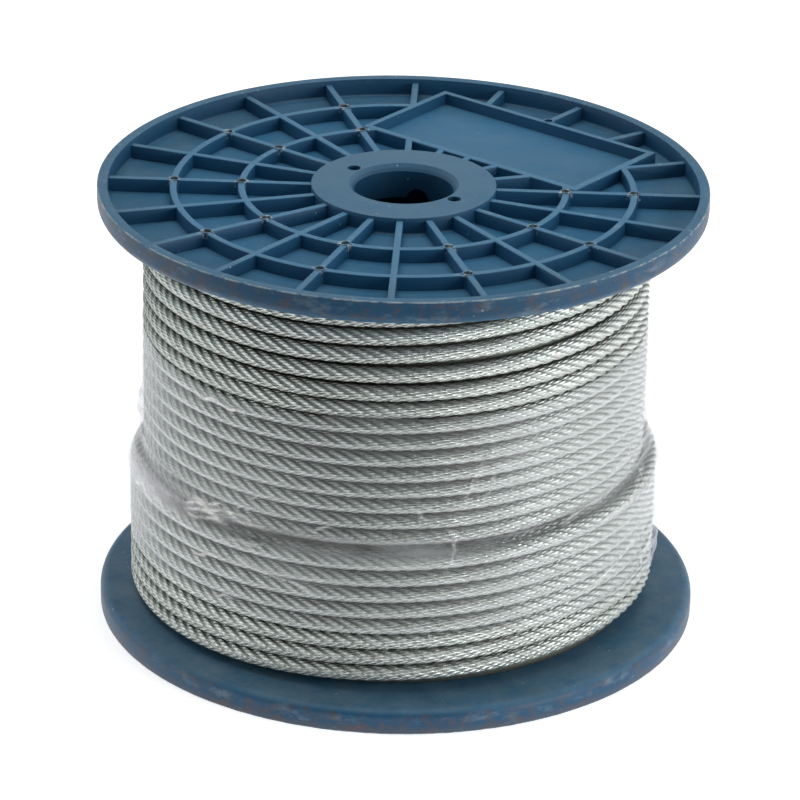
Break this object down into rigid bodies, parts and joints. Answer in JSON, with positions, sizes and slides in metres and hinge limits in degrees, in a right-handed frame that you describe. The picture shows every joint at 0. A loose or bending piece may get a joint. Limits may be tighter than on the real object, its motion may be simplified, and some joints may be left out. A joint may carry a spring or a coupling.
{
  "type": "reel of wire rope",
  "caption": "Moulded plastic reel with ribbed flanges, filled with wound galvanized steel wire rope and partly wrapped in clear stretch film.",
  "frame": {"origin": "middle of the lower flange's rim face, on the floor that the reel stands on", "axes": "+Z along the reel's axis, upwards; -Y towards the picture's camera"},
  "size_m": [0.21, 0.21, 0.158],
  "materials": {
    "blue_plastic": "moulded, satin, scuffed and dusty",
    "galvanized_steel": "dull zinc grey, stranded",
    "stretch_film": "clear, glossy, crinkled"
  },
  "bodies": {
    "root": {"flange_top": "blue_plastic", "flange_bottom": "blue_plastic", "barrel": "blue_plastic", "rope_winding": "galvanized_steel", "stretch_film": "stretch_film"}
  },
  "joints": []
}
